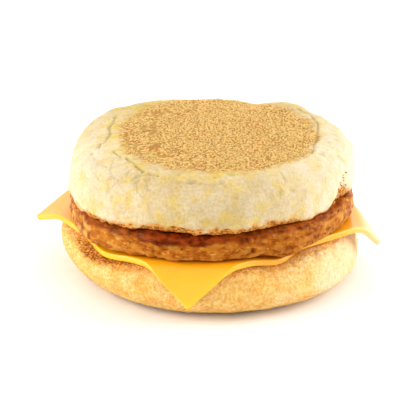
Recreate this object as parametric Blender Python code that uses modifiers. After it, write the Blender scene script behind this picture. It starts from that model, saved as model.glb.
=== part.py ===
"""English muffin sandwich: a griddled English muffin, split in two, round one slice of cheese
and a sausage patty.

Four solids lie on each other: the muffin's heel, the cheese slice, the patty and the muffin's
crown. The origin is on the surface that the heel stands on, under its middle. X runs to the
right, Y away from the front cheese corner, Z up. Directions are in degrees from +X towards +Y,
so the front of the sandwich is at 270.
"""

import math

import bpy
from mathutils import Matrix, Vector, noise

MM = 0.001
GAP = 0.3 * MM  # clear space kept between pieces that lie on each other

RIGHT, BACK, LEFT, FRONT = 0, 90, 180, 270

# Muffin heel, the lower half: flat griddled base, rounded flank, split face on top.
HEEL_RADIUS = 49.4 * MM
HEEL_THICKNESS = 18.4 * MM
HEEL_FLANK = 15.0 * MM  # how far the flank curves in on its way to the base
HEEL_LIP = 5.0 * MM  # how far the split face's edge is rounded over
HEEL_WAIST = 9.2 * MM  # mean height of the widest ring
HEEL_WAIST_WAVES = ((1, 3.7 * MM, LEFT),)
HEEL_OUTLINE_WAVES = ((2, 0.5 * MM, RIGHT), (3, 0.3 * MM, 40), (5, 0.25 * MM, 100))
HEEL_SWELLS = (  # direction, height, spread in degrees and in height, push outwards, lift
    (325, 4.0 * MM, 38, 5.0 * MM, 0.5 * MM, 0.0),
    (5, 7.0 * MM, 30, 6.0 * MM, 0.6 * MM, 0.0),
    (222, 19.0 * MM, 18, 5.0 * MM, 0.0, -1.6 * MM),
    (262, 12.0 * MM, 20, 6.0 * MM, -0.7 * MM, 0.0),
)
HEEL_BASE_RING = 20.0 * MM
HEEL_STEPS = 88

# Cheese slice: one square sheet whose four corners hang over the heel.
CHEESE_SIDE = 86.5 * MM
CHEESE_THICKNESS = 2.1 * MM
CHEESE_TURN = -7.7  # degrees
CHEESE_FOLDS = (  # direction before the turn, distance of the fold, its degrees, its bend radius
    (RIGHT + 14, 44.5 * MM, 50, 8.0 * MM),
    (BACK, 45.5 * MM, 42, 8.0 * MM),
    (LEFT - 5, 46.5 * MM, 30, 9.0 * MM),
    (FRONT, 45.0 * MM, 80, 5.0 * MM),
)
CHEESE_SLUMPS = (  # where a side has melted: direction, spread in degrees, flow outwards, drop
    (222, 14, 3.0 * MM, 1.2 * MM),
    (160, 10, 1.2 * MM, 0.0),
)
CHEESE_SLUMP_START = 36.0 * MM
CHEESE_EDGE_ROUND = 0.45 * MM
CHEESE_CELLS = 28

# Sausage patty: a round slab with a bumpy edge, rounder above than below.
PATTY_RADIUS = 47.4 * MM
PATTY_THICKNESS = 8.6 * MM
PATTY_ROUND = 3.6 * MM
PATTY_UPPER_FULLNESS = 0.85
PATTY_LOWER_FULLNESS = 0.6
PATTY_OUTLINE_WAVES = ((1, 0.5 * MM, RIGHT), (2, 0.4 * MM, 30), (4, 0.4 * MM, 70), (7, 0.3 * MM, 10))
PATTY_SWELLS = (
    (326, 6.0 * MM, 14, 6.0 * MM, -1.0 * MM, 0.0),
    (208, 1.5 * MM, 18, 4.0 * MM, 1.2 * MM, 0.0),
)
PATTY_LUMP = 0.55 * MM
PATTY_LUMP_SPACING = 7.0 * MM
PATTY_STEPS = 84

# Muffin crown, the upper half: split face below, rounded shoulder, flat griddled disc on top.
CROWN_RADIUS = 47.6 * MM
CROWN_THICKNESS = 18.2 * MM
CROWN_DISC_RADIUS = 32.6 * MM
CROWN_DISC_DROP = 1.2 * MM  # how much lower the disc's rim is than its middle
CROWN_DISC_SHIFT = 3.0 * MM  # the disc lies this far to the right of the middle
CROWN_DISC_RINGS = (0.0, 12.0 * MM, 22.0 * MM, 29.0 * MM)
CROWN_SHOULDER_FULLNESS = 0.9
CROWN_LIP = 3.0 * MM
CROWN_WAIST = 5.6 * MM
CROWN_WAIST_WAVES = ((1, 4.0 * MM, RIGHT),)
CROWN_OUTLINE_WAVES = ((2, 0.5 * MM, 20), (3, 0.35 * MM, 0), (5, 0.3 * MM, 200))
CROWN_SWELLS = (
    (140, 12.0 * MM, 32, 8.0 * MM, 3.2 * MM, 1.2 * MM),
    (50, 16.0 * MM, 11, 5.0 * MM, 0.9 * MM, 1.2 * MM),
    (65, 17.0 * MM, 8, 5.0 * MM, -0.5 * MM, -1.2 * MM),
    (80, 18.0 * MM, 26, 6.0 * MM, 0.0, -0.7 * MM),
    (LEFT, 6.0 * MM, 30, 7.0 * MM, -0.7 * MM, 0.0),
)
CROWN_RIM = (  # the uneven lower edge: direction, spread in degrees, push outwards, lift
    (252, 10, 0.0, 1.4 * MM),
    (273, 9, 0.3 * MM, -0.6 * MM),
    (295, 5, 0.0, 0.9 * MM),
    (318, 9, 0.4 * MM, -1.1 * MM),
    (337, 5, -1.0 * MM, 3.4 * MM),
    (353, 8, 0.3 * MM, -0.9 * MM),
)
CROWN_RIM_START = 43.5 * MM
CROWN_RIM_END = 47.0 * MM
CROWN_PLEAT = 0.5 * MM
CROWN_PLEAT_SPACING = 9.0 * MM
CROWN_PLEAT_START = 38.0 * MM
CROWN_CREASE = 0.5 * MM  # mean depth of the groove round the disc
CROWN_CREASE_WAVES = ((2, 0.35 * MM, RIGHT),)  # the groove is deeper at the left and the right
CROWN_CREASE_WIDTH = 1.6 * MM
CROWN_STEPS = 96

# Where the filling sags over the heel's edge and takes the crown's edge down with it.
SAG_DIRECTION = 211
SAG_SPREAD = 28
SAG_DROP = 1.9 * MM
SAG_START = 34.0 * MM
SAG_END = 47.0 * MM

# Rings of points on the flat split faces and on both faces of the patty.
FACE_RINGS = (0.0, 18.0 * MM, SAG_START, 39.0 * MM)

# Torn edges of both split faces.
CRAG = 0.45 * MM
CRAG_SPACING = 6.0 * MM
CRAG_START = 42.0 * MM
CRAG_END = 46.0 * MM

# Bumps in the outline fade out between these distances from the middle.
SHAPE_START = 24.0 * MM
SHAPE_END = 44.0 * MM

# Heights of the pieces.
CHEESE_BOTTOM = HEEL_THICKNESS + GAP
PATTY_BOTTOM = CHEESE_BOTTOM + CHEESE_THICKNESS + GAP
CROWN_BOTTOM = PATTY_BOTTOM + PATTY_THICKNESS + GAP


def smooth(low, high, value):
    """0 below low, 1 above high, and a smooth step between them."""
    t = min(1.0, max(0.0, (value - low) / (high - low)))
    return t * t * (3 - 2 * t)


def near(direction, target, spread):
    """1 in the target direction, falling off to both sides over the spread, in degrees."""
    turn = (direction - target + 180) % 360 - 180
    return math.exp(-((turn / spread) ** 2))


def waves(direction, terms):
    """Sum of cosine waves round the axis: each term has an order, a height and where it peaks."""
    return sum(height * math.cos(order * math.radians(direction - peak)) for order, height, peak in terms)


def lumps(point, spacing, seed):
    """Smooth bumps between -1 and 1, the given distance apart."""
    return noise.noise(point / spacing + Vector((seed, 2 * seed, 3 * seed)))


def distance_out(point):
    """Distance from the Z axis."""
    return math.hypot(point.x, point.y)


def direction_of(point):
    """Direction from the Z axis, in degrees."""
    return math.degrees(math.atan2(point.y, point.x))


def widened(point, amount):
    """The point moved straight away from the Z axis."""
    radius = distance_out(point)
    scale = (radius + amount) / radius if radius > MM else 1.0
    return Vector((point.x * scale, point.y * scale, point.z))


def swelled(point, swells):
    """The point pushed outwards and upwards by bumps, each at its own direction and height."""
    push = lift = 0.0
    for target, height, spread, depth, out, up in swells:
        share = near(direction_of(point), target, spread) * math.exp(-(((point.z - height) / depth) ** 2))
        push += share * out
        lift += share * up
    share = smooth(SHAPE_START, SHAPE_END, distance_out(point))
    moved = widened(point, share * push)
    moved.z += share * lift
    return moved


def raised_waist(height, waist, waist_there, top):
    """A height on a profile whose widest ring moves from waist to waist_there, its ends fixed."""
    if height <= waist:
        return height * waist_there / waist
    return top - (top - height) * (top - waist_there) / (top - waist)


def sag(point):
    """How far the filling has sagged at one place."""
    share = smooth(SAG_START, SAG_END, distance_out(point))
    return SAG_DROP * share * near(direction_of(point), SAG_DIRECTION, SAG_SPREAD)


def face(rings, height):
    """Profile points of a flat face."""
    return [(radius, height) for radius in rings]


def arc(centre, half_width, half_height, start, end, count, fullness=1.0):
    """Profile points of a quarter of an ellipse. A fullness under 1 makes it squarer."""
    points = []
    for i in range(count + 1):
        turn = math.radians(start + (end - start) * i / count)
        across = math.copysign(abs(math.cos(turn)) ** fullness, math.cos(turn))
        up = math.copysign(abs(math.sin(turn)) ** fullness, math.sin(turn))
        points.append((centre[0] + half_width * across, centre[1] + half_height * up))
    return points


def turned(name, profile, steps):
    """A mesh object made by turning a profile, given from its top to its bottom, round Z."""
    line = bpy.data.meshes.new(name + "_profile")
    line.from_pydata([(r, 0.0, z) for r, z in profile], [(i, i + 1) for i in range(len(profile) - 1)], [])
    lathe = bpy.data.objects.new(name + "_profile", line)
    bpy.context.scene.collection.objects.link(lathe)
    screw = lathe.modifiers.new("Turn", "SCREW")
    screw.steps = screw.render_steps = steps
    screw.use_merge_vertices = True
    screw.merge_threshold = 0.01 * MM
    graph = bpy.context.evaluated_depsgraph_get()
    solid = bpy.data.meshes.new_from_object(lathe.evaluated_get(graph))
    solid.name = name
    bpy.data.objects.remove(lathe)
    return bpy.data.objects.new(name, solid)


def reshape(piece, rule):
    """Moves each vertex of a piece to where the rule puts it."""
    for vertex in piece.data.vertices:
        vertex.co = rule(vertex.co.copy())


def shaped_heel(point):
    """Where a point of the turned heel goes on the uneven, baked one."""
    direction = direction_of(point)
    radius = distance_out(point)
    level = point.z / HEEL_THICKNESS
    edge = smooth(SHAPE_START, HEEL_RADIUS, radius)
    waist = HEEL_WAIST + edge * waves(direction, HEEL_WAIST_WAVES)
    moved = Vector((point.x, point.y, raised_waist(point.z, HEEL_WAIST, waist, HEEL_THICKNESS)))
    moved = widened(moved, edge * waves(direction, HEEL_OUTLINE_WAVES))
    moved = swelled(moved, HEEL_SWELLS)
    moved.z -= sag(moved) * smooth(0.3, 1.0, level)
    torn = smooth(CRAG_START, CRAG_END, radius) * smooth(0.75, 1.0, level)
    moved.z -= torn * CRAG * (1 + lumps(moved, CRAG_SPACING, 3))
    moved.z = max(0.0, moved.z)
    return moved


def make_heel():
    """Lower muffin half, standing on its griddled base."""
    lip_centre = (HEEL_RADIUS - HEEL_LIP, HEEL_WAIST)
    flank_centre = (HEEL_RADIUS - HEEL_FLANK, HEEL_WAIST)
    profile = face(FACE_RINGS, HEEL_THICKNESS)
    profile += arc(lip_centre, HEEL_LIP, HEEL_THICKNESS - HEEL_WAIST, 90, 0, 6)
    profile += arc(flank_centre, HEEL_FLANK, HEEL_WAIST, 0, -90, 6)[1:]
    profile += face((HEEL_BASE_RING, 0.0), 0.0)
    heel = turned("muffin_heel", profile, HEEL_STEPS)
    reshape(heel, shaped_heel)
    return heel


def folded(point, direction, fold, degrees, radius):
    """The point after one corner of a flat sheet is bent down about a straight line."""
    turn = math.radians(direction)
    ahead = Vector((math.cos(turn), math.sin(turn), 0.0))
    past = point.dot(ahead) - fold
    if past <= 0:
        return point
    bent = min(math.radians(degrees), past / radius)
    straight = past - radius * bent
    out = radius * math.sin(bent) + straight * math.cos(bent)
    down = radius * (1 - math.cos(bent)) + straight * math.sin(bent)
    return point + ahead * (out - past) - Vector((0.0, 0.0, down))


def draped_cheese(point):
    """Where a point of the flat square goes on the slice that lies on the heel."""
    moved = Matrix.Rotation(math.radians(45), 3, "Z") @ point
    for fold in CHEESE_FOLDS:
        moved = folded(moved, *fold)
    moved = Matrix.Rotation(math.radians(CHEESE_TURN), 3, "Z") @ moved
    past = smooth(CHEESE_SLUMP_START, CHEESE_SIDE / 2, point.length)
    flow = drop = 0.0
    for target, spread, out, down in CHEESE_SLUMPS:
        share = past * near(direction_of(moved), target, spread)
        flow += share * out
        drop += share * down
    moved = widened(moved, flow)
    moved.z += CHEESE_BOTTOM + CHEESE_THICKNESS / 2 - drop - sag(moved)
    return moved


def make_cheese():
    """Square sheet lying on the heel, its corners bent down over the edge."""
    bpy.ops.mesh.primitive_grid_add(x_subdivisions=CHEESE_CELLS, y_subdivisions=CHEESE_CELLS, size=CHEESE_SIDE)
    cheese = bpy.context.object
    cheese.name = cheese.data.name = "cheese_slice"
    for home in cheese.users_collection:
        home.objects.unlink(cheese)
    reshape(cheese, draped_cheese)
    sheet = cheese.modifiers.new("Thickness", "SOLIDIFY")
    sheet.thickness = CHEESE_THICKNESS
    sheet.offset = 0.0
    rounded = cheese.modifiers.new("Soft edge", "BEVEL")
    rounded.width = CHEESE_EDGE_ROUND
    rounded.segments = 1
    rounded.limit_method = "ANGLE"
    rounded.angle_limit = math.radians(60)
    return cheese


def shaped_patty(point):
    """Where a point of the turned slab goes on the hand-pressed, cooked one."""
    radius = distance_out(point)
    edge = smooth(SHAPE_START, PATTY_RADIUS, radius)
    side = smooth(FACE_RINGS[-1], PATTY_RADIUS, radius)
    moved = widened(point, edge * waves(direction_of(point), PATTY_OUTLINE_WAVES))
    moved = swelled(moved, PATTY_SWELLS)
    moved = widened(moved, side * PATTY_LUMP * lumps(moved, PATTY_LUMP_SPACING, 5))
    moved.z += PATTY_BOTTOM - sag(moved)
    return moved


def make_patty():
    """Ground meat slab between the cheese and the crown."""
    half = PATTY_THICKNESS / 2
    centre = (PATTY_RADIUS - PATTY_ROUND, half)
    profile = face(FACE_RINGS, PATTY_THICKNESS)
    profile += arc(centre, PATTY_ROUND, half, 90, 0, 4, PATTY_UPPER_FULLNESS)
    profile += arc(centre, PATTY_ROUND, half, 0, -90, 4, PATTY_LOWER_FULLNESS)[1:]
    profile += face(reversed(FACE_RINGS), 0.0)
    patty = turned("sausage_patty", profile, PATTY_STEPS)
    reshape(patty, shaped_patty)
    return patty


def shaped_crown(point):
    """Where a point of the turned crown goes on the uneven, baked one."""
    direction = direction_of(point)
    radius = distance_out(point)
    level = point.z / CROWN_THICKNESS
    edge = smooth(SHAPE_START, CROWN_RADIUS, radius)
    waist = CROWN_WAIST + edge * waves(direction, CROWN_WAIST_WAVES)
    moved = Vector((point.x, point.y, raised_waist(point.z, CROWN_WAIST, waist, CROWN_THICKNESS)))
    moved = widened(moved, edge * waves(direction, CROWN_OUTLINE_WAVES))

    # The disc and the groove round it.
    on_top = smooth(0.5, 1.0, level)
    moved.x += CROWN_DISC_SHIFT * on_top * (1 - smooth(CROWN_DISC_RADIUS, CROWN_RADIUS, radius))
    groove = on_top * math.exp(-(((radius - CROWN_DISC_RADIUS) / CROWN_CREASE_WIDTH) ** 2))
    moved.z -= groove * (CROWN_CREASE + waves(direction, CROWN_CREASE_WAVES))

    # The wrinkled shoulder.
    moved = swelled(moved, CROWN_SWELLS)
    pleated = smooth(CROWN_DISC_RADIUS, CROWN_PLEAT_START, radius) * smooth(0.2, 0.5, level)
    moved = widened(moved, pleated * CROWN_PLEAT * lumps(moved, CROWN_PLEAT_SPACING, 7))

    # The torn lower edge.
    rim = smooth(CROWN_RIM_START, CROWN_RIM_END, radius) * (1 - smooth(0.0, 0.45, level))
    for target, spread, push, lift in CROWN_RIM:
        share = rim * near(direction, target, spread)
        moved = widened(moved, share * push)
        moved.z += share * lift
    moved.z += rim * CRAG * lumps(moved, CRAG_SPACING, 11)

    moved.z += CROWN_BOTTOM - sag(moved) * (1 - smooth(0.0, 0.7, level))
    return moved


def make_crown():
    """Upper muffin half, lying on the patty with its griddled disc up."""
    bow = CROWN_DISC_DROP / CROWN_DISC_RADIUS**2
    rim_height = CROWN_THICKNESS - CROWN_DISC_DROP
    shoulder_centre = (CROWN_DISC_RADIUS, CROWN_WAIST)
    shoulder_width = CROWN_RADIUS - CROWN_DISC_RADIUS
    lip_centre = (CROWN_RADIUS - CROWN_LIP, CROWN_WAIST)
    profile = [(radius, CROWN_THICKNESS - bow * radius**2) for radius in CROWN_DISC_RINGS]
    profile += arc(
        shoulder_centre, shoulder_width, rim_height - CROWN_WAIST, 90, 0, 9, CROWN_SHOULDER_FULLNESS
    )
    profile += arc(lip_centre, CROWN_LIP, CROWN_WAIST, 0, -90, 5)[1:]
    profile += face((FACE_RINGS[3], FACE_RINGS[2], 0.0), 0.0)
    crown = turned("muffin_crown", profile, CROWN_STEPS)
    reshape(crown, shaped_crown)
    return crown


def finish(name, colour, roughness):
    """A Principled material with one colour, given as linear red, green and blue."""
    material = bpy.data.materials.new(name)
    material.use_nodes = True
    shader = material.node_tree.nodes["Principled BSDF"]
    shader.inputs["Base Color"].default_value = (*colour, 1.0)
    shader.inputs["Roughness"].default_value = roughness
    return material


def main():
    for old in list(bpy.data.objects):
        bpy.data.objects.remove(old)
    collection = bpy.data.collections.new("english_muffin_sandwich")
    bpy.context.scene.collection.children.link(collection)
    pieces = (
        (make_heel(), finish("toasted_crust", (0.78, 0.52, 0.22), 0.85)),
        (make_cheese(), finish("cheese", (0.95, 0.55, 0.08), 0.35)),
        (make_patty(), finish("cooked_sausage", (0.35, 0.14, 0.05), 0.45)),
        (make_crown(), finish("pale_crust", (0.85, 0.72, 0.47), 0.9)),
    )
    for piece, material in pieces:
        collection.objects.link(piece)
        piece.data.materials.append(material)
        piece.data.shade_smooth()


if __name__ == "__main__":
    main()
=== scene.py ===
"""English muffin sandwich: the looks of a griddled muffin with a cheese slice and a sausage patty.

Every piece is made in metres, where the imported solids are: the sandwich stands on Z = 0, its
front cheese corner towards -Y. Directions are in degrees from +X towards +Y.
"""

import math

import bpy
import numpy as np
from bpy.props import FloatProperty, FloatVectorProperty, IntProperty, PointerProperty
from mathutils import Matrix, Vector, noise


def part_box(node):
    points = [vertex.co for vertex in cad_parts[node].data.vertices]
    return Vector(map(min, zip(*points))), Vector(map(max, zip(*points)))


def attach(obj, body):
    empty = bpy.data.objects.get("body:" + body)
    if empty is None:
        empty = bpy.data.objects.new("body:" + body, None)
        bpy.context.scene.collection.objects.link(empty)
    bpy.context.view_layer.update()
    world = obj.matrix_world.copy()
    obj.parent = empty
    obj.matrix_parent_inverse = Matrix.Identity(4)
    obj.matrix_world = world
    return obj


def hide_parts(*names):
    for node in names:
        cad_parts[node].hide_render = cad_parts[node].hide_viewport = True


bl_info = {
    "name": "English muffin sandwich",
    "version": (1, 0, 0),
    "blender": (4, 5, 0),
    "location": "View3D > Sidebar > Muffin",
    "description": "Makes a griddled English muffin with cheese and a sausage patty",
    "category": "Add Mesh",
}

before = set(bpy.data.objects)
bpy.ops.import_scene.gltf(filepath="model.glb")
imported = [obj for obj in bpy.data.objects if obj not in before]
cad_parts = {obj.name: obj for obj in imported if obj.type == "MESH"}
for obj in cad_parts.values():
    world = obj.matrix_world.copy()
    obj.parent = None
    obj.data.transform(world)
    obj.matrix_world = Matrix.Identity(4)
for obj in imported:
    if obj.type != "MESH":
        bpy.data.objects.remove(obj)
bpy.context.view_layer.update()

MM = 0.001
GAP = 0.3 * MM
RIGHT, BACK, LEFT, FRONT = 0, 90, 180, 270

# Muffin heel.
HEEL_RADIUS = 49.4 * MM
HEEL_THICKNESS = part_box("muffin_heel")[1].z
HEEL_FLANK = 15.0 * MM
HEEL_LIP = 5.0 * MM
HEEL_WAIST = 9.2 * MM
HEEL_WAIST_WAVES = ((1, 3.7 * MM, LEFT),)
HEEL_OUTLINE_WAVES = ((2, 0.5 * MM, RIGHT), (3, 0.3 * MM, 40), (5, 0.25 * MM, 100))
HEEL_SWELLS = (  # direction, height, spread in degrees and in height, push outwards, lift
    (325, 4.0 * MM, 38, 5.0 * MM, 0.5 * MM, 0.0),
    (5, 7.0 * MM, 30, 6.0 * MM, 0.6 * MM, 0.0),
    (222, 19.0 * MM, 18, 5.0 * MM, 0.0, -1.6 * MM),
    (262, 12.0 * MM, 20, 6.0 * MM, -0.7 * MM, 0.0),
    (299, 19.0 * MM, 11, 4.0 * MM, 0.0, -1.3 * MM),
)
HEEL_TORN_START = 42.0 * MM
HEEL_TORN_END = 46.0 * MM
HEEL_TORN_DEPTH = 0.45 * MM

# Cheese slice.
CHEESE_SIDE = 86.5 * MM
CHEESE_TURN = -7.7
CHEESE_FOLDS = (  # direction before the turn, distance of the fold, its degrees, its bend radius
    (RIGHT + 14, 44.5 * MM, 50, 8.0 * MM),
    (BACK, 45.5 * MM, 42, 8.0 * MM),
    (LEFT - 5, 46.5 * MM, 30, 9.0 * MM),
    (FRONT, 45.0 * MM, 80, 5.0 * MM),
)
CHEESE_SLUMPS = (  # where a side has melted: direction, spread in degrees, flow outwards, drop
    (222, 14, 3.0 * MM, 1.2 * MM),
    (160, 10, 1.2 * MM, 0.0),
    (299, 9, 2.4 * MM, 1.3 * MM),
)
CHEESE_SLUMP_START = 36.0 * MM
CHEESE_SOFT_EDGE = 0.9 * MM
CHEESE_CELLS = 130

# Sausage patty.
PATTY_RADIUS = 47.4 * MM
PATTY_THICKNESS = 8.6 * MM
PATTY_ROUND = 3.6 * MM
PATTY_HIDDEN_RADIUS = 39.0 * MM  # the filling hides what lies further in, so it stays flat and coarse
PATTY_OUTLINE_WAVES = ((1, 0.5 * MM, RIGHT), (2, 0.4 * MM, 30), (4, 0.4 * MM, 70), (7, 0.3 * MM, 10))
PATTY_SWELLS = (
    (326, 6.0 * MM, 14, 6.0 * MM, -1.0 * MM, 0.0),
    (208, 1.5 * MM, 18, 4.0 * MM, 1.2 * MM, 0.0),
    (307, 2.0 * MM, 7, 3.0 * MM, 0.8 * MM, 0.0),
    (301, 0.5 * MM, 8, 2.5 * MM, 1.2 * MM, -1.0 * MM),
)
PATTY_LUMP = 0.55 * MM
PATTY_LUMP_SPACING = 7.0 * MM

# Muffin crown.
CROWN_RADIUS = 47.6 * MM
CROWN_THICKNESS = 18.2 * MM
CROWN_DISC_RADIUS = 32.6 * MM
CROWN_DISC_DROP = 1.2 * MM
CROWN_DISC_SHIFT = 3.0 * MM
CROWN_GRIDDLED_RADIUS = 32.3 * MM
CROWN_GRIDDLED_BACK = 6.5 * MM  # how much further the browning goes at the back
CROWN_LIP = 3.0 * MM
CROWN_WAIST = 5.6 * MM
CROWN_WAIST_WAVES = ((1, 4.0 * MM, RIGHT),)
TURNED_UNDER = 0.41  # slope from which the lower edge is toasted, as it faces the filling
CROWN_OUTLINE_WAVES = ((2, 0.5 * MM, 20), (3, 0.35 * MM, 0), (5, 0.3 * MM, 200))
CROWN_SWELLS = (
    (140, 12.0 * MM, 32, 8.0 * MM, 3.2 * MM, 1.2 * MM),
    (50, 16.0 * MM, 11, 5.0 * MM, 0.9 * MM, 1.2 * MM),
    (65, 17.0 * MM, 8, 5.0 * MM, -0.5 * MM, -1.2 * MM),
    (80, 18.0 * MM, 26, 6.0 * MM, 0.0, -0.7 * MM),
    (LEFT, 6.0 * MM, 30, 7.0 * MM, -0.7 * MM, 0.0),
)
CROWN_RIM_START = 43.5 * MM
CROWN_RIM_END = 47.0 * MM
CROWN_RIM = (  # the uneven lower edge: direction, spread in degrees, push outwards, lift
    (252, 10, 0.0, 1.4 * MM),
    (273, 9, 0.3 * MM, -0.6 * MM),
    (295, 5, 0.0, 0.9 * MM),
    (318, 9, 0.4 * MM, -1.1 * MM),
    (337, 5, -1.0 * MM, 3.4 * MM),
    (353, 8, 0.3 * MM, -0.9 * MM),
)
CREASE_FULL_DEPTH = 0.7  # in mm: a wrinkle this deep gets its full painted shade
CROWN_CREASES = (  # wrinkles seen from above: depth, half width, and X and Y along the line, in mm
    (0.7, 0.3, ((-32.2, 19.0), (-32.8, 12.5), (-33.9, 7.0), (-33.3, 0.0), (-34.5, -5.0), (-35.2, -7.0))),
    (0.5, 0.3, ((-36.2, -6.5), (-36.5, -10.5), (-36.3, -14.0))),
    (0.5, 0.3, ((-31.5, -14.5), (-30.0, -17.5), (-28.8, -19.2))),
    (0.3, 0.4, ((-31.4, -20.5), (-31.9, -25.0))),
    (0.7, 0.35, ((-27.0, -21.0), (-25.3, -24.5), (-23.4, -28.0), (-21.2, -32.0))),
    (0.5, 0.35, ((-24.8, -34.4), (-22.6, -33.4), (-19.5, -33.6), (-16.2, -35.3))),
    (0.3, 0.4, ((-14.3, -36.4), (-10.5, -38.8), (-5.8, -40.2), (1.6, -41.2), (4.2, -40.5))),
    (0.3, 0.5, ((-28.0, 22.0), (-25.5, 25.0), (-22.5, 29.0))),
    (0.6, 0.5, ((30.5, 24.5), (34.6, 18.3), (36.4, 9.5), (36.0, 1.0), (34.6, -9.0), (33.0, -18.0))),
)

# Where the filling sags over the heel's edge and takes the crown's edge down with it.
SAG_DIRECTION = 211
SAG_SPREAD = 28
SAG_DROP = 1.9 * MM
SAG_START = 34.0 * MM
SAG_END = 47.0 * MM

SHAPE_START = 24.0 * MM
SHAPE_END = 44.0 * MM
COARSE = 6  # hidden faces are this many steps wide

# Shades that the panel doesn't offer.
DISC_FLECK = "#8f622b"
TOAST_GOLD = "#d2913a"
HEEL_STAIN = "#e6a545"
# Fat from the patty, and painted shade near the patty.
SHADED_GREASY_CHEESE = "#e08a24"
LIT_CHEESE = "#f7dcb4"
DARK_MEAT = "#863c07"
LIGHT_MEAT = "#ba711d"
# Painted shade in the hollows of the meat.
MEAT_PIT_SHADE = "#5a2406"
RED_SEAR_AND_SHADE = "#8c300a"
SECOND_MEAL = "#dbaf60"
HEEL_MEAL = ("#eec06a", "#e6a946")
CRUMB_TONES = ("#6b3a14", "#b0702c", "#dba95a")
PEPPER_TONES = ("#241309", "#5a3a20")
PAPER_TONE = "#fbfaf8"


def linear(code):
    """Linear red, green and blue of an sRGB hex colour."""
    parts = [int(code[i : i + 2], 16) / 255 for i in (1, 3, 5)]
    return [c / 12.92 if c <= 0.04045 else ((c + 0.055) / 1.055) ** 2.4 for c in parts]


def colour(name, description, code):
    """A colour that the user can change."""
    return FloatVectorProperty(
        name=name, description=description, subtype="COLOR", min=0.0, max=1.0, default=linear(code)
    )


class MuffinSettings(bpy.types.PropertyGroup):
    """Sizes and colours of the two muffin halves."""

    step: FloatProperty(
        name="Step", description="Mesh spacing on the crusts", default=0.45 * MM, min=0.3 * MM, unit="LENGTH"
    )
    relief: FloatProperty(name="Relief", description="Depth of wrinkles and lumps", default=1.0, min=0.0)
    grain: FloatProperty(
        name="Grain", description="Size of a cornmeal grain", default=0.65 * MM, min=0.3 * MM, unit="LENGTH"
    )
    crumbs: IntProperty(name="Crumbs", description="Number of loose toasted crumbs", default=26, min=0)
    pale: colour("Pale crust", "Crown's flank", "#c4aa75")
    # Flour colour, also used as painted light where the side lamps fall on the flanks.
    floury: colour("Flour", "Where flour whitens the crust", "#e2d5ba")
    dusted: colour("Dusted crust", "Where cornmeal stains the flank", "#d8bb5e")
    # Painted shade in the wrinkles and pits.
    crease_shade: colour("Creases", "Grey of the wrinkles", "#b09e6c")
    golden: colour("Golden crust", "Heel's flank", "#f5cd7a")
    griddled: colour("Griddled disc", "Browned top", "#bd954f")
    browned: colour("Browned spots", "Darker places on the disc", "#c28542")
    toasted: colour("Toasted edge", "Torn edge of the split faces", "#9c5012")
    meal: colour("Cornmeal", "Grains on the griddled disc", "#e9c780")


class FillingSettings(bpy.types.PropertyGroup):
    """Sizes and colours of the cheese and the patty."""

    thickness: FloatProperty(
        name="Slice", description="Thickness of the cheese", default=2.1 * MM, min=1.0 * MM, unit="LENGTH"
    )
    pepper: IntProperty(name="Pepper", description="Number of pepper specks on the patty", default=45, min=0)
    cheese: colour("Cheese", "Processed cheese", "#fba810")
    # Painted light: the front corner, where more light falls, and painted highlights along the slice's edges.
    lit_tip_and_edges: colour("Cheese corners", "Yellower where the slice is thin", "#fedc12")
    meat: colour("Meat", "Cooked sausage", "#a25713")
    # Sear colour, also used for painted shade under the crown's rim and on the front-right side.
    sear: colour("Sear", "Where the griddle has browned the meat", "#521403")
    # Fat colour, also used as painted highlight on the lit left and right ends.
    fat_and_highlight_tone: colour("Fat", "Specks of fat in the meat", "#e6ab4e")


class StageSettings(bpy.types.PropertyGroup):
    """Camera, floor and lights."""

    distance: FloatProperty(name="Distance", description="Camera to the sandwich", default=0.7, unit="LENGTH")
    height: FloatProperty(
        name="Height", description="Height that the camera looks at", default=19.75 * MM, unit="LENGTH"
    )
    elevation: FloatProperty(
        name="Elevation",
        description="How far the camera looks down",
        default=math.radians(22.5),
        subtype="ANGLE",
    )
    lens: FloatProperty(name="Lens", description="Focal length in mm on a 36 mm sensor", default=177.26)
    sides: FloatProperty(name="Side lights", description="Power of each side light", default=3.8)
    back: FloatProperty(name="Back light", description="Power of the back light", default=1.2)
    sky: FloatProperty(name="Sky", description="Strength of the white surroundings", default=0.83)
    floor: colour("Floor", "Plain pale floor", "#f6f5f2")


def smooth(low, high, value):
    """0 below low, 1 above high, and a smooth step between them."""
    t = min(1.0, max(0.0, (value - low) / (high - low)))
    return t * t * (3 - 2 * t)


def near(direction, target, spread):
    """1 in the target direction, falling off to both sides over the spread, in degrees."""
    turn = (direction - target + 180) % 360 - 180
    return math.exp(-((turn / spread) ** 2))


def waves(direction, terms):
    """Sum of cosine waves round the axis: each term has an order, a height and where it peaks."""
    return sum(height * math.cos(order * math.radians(direction - peak)) for order, height, peak in terms)


def lumps(point, spacing, seed):
    """Smooth bumps between -1 and 1, the given distance apart."""
    return noise.noise(point / spacing + Vector((seed, 2 * seed, 3 * seed)))


def cracks(point, spacing, seed):
    """Thin lines of 1 on a ground of 0, the given distance apart."""
    return smooth(0.82, 1.0, 1 - 2 * abs(lumps(point, spacing, seed)))


def pits(point, spacing, seed):
    """Scattered small hollows: 1 inside and 0 between them."""
    return smooth(0.3, 0.5, lumps(point, spacing, seed))


def seams(point, spacing, seed):
    """Thin lines of 1 between rounded cells, the given distance apart."""
    place = point / spacing + Vector((seed, 2 * seed, 3 * seed))
    shift = Vector([lumps(place, 1.0, other) for other in (31, 32, 33)])
    first, second = noise.voronoi(place + 0.25 * shift)[0][:2]
    return smooth(0.12, 0.0, second - first)


def distance_out(point):
    """Distance from the Z axis."""
    return math.hypot(point.x, point.y)


def direction_of(point):
    """Direction from the Z axis, in degrees."""
    return math.degrees(math.atan2(point.y, point.x))


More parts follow.
